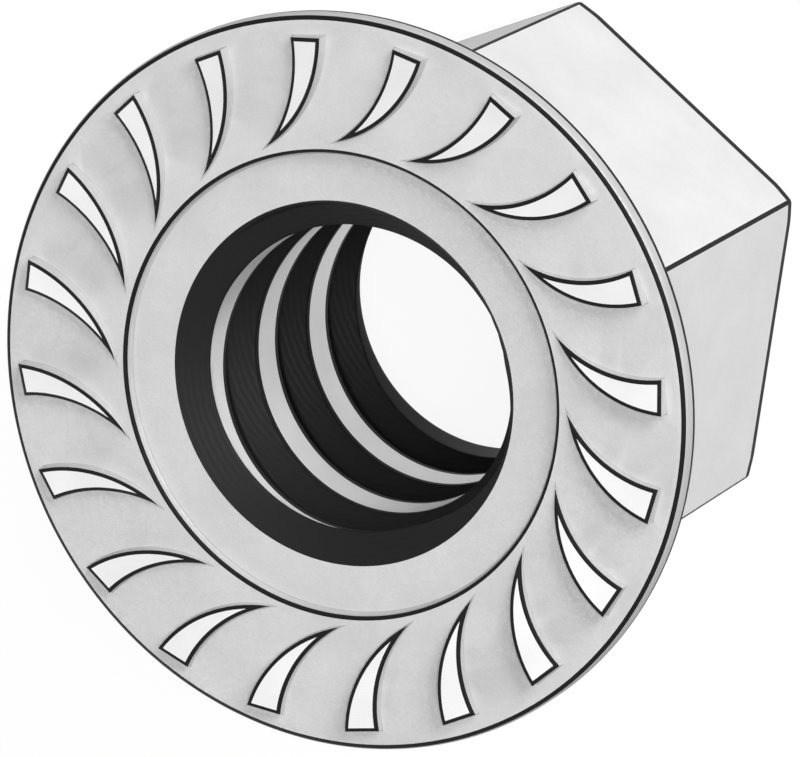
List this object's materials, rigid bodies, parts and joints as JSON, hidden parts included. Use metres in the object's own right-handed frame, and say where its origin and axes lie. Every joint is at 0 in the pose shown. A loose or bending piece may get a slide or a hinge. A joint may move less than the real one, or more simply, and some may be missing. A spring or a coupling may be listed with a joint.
{
  "type": "serrated flange nut",
  "caption": "Hexagon nut forged in one piece with a round flange, whose bearing face has curved locking teeth around a coarse through thread.",
  "frame": {"origin": "on the thread's axis, at the end of the hexagon that the nut stands on", "axes": "+Z along the thread, towards the serrated bearing face; +X through a corner of the hexagon"},
  "size_m": [0.027, 0.027, 0.0185],
  "materials": {
    "zinc_coated_steel": "matte grey zinc coating"
  },
  "bodies": {
    "root": {"flange_nut": "zinc_coated_steel"}
  },
  "joints": []
}
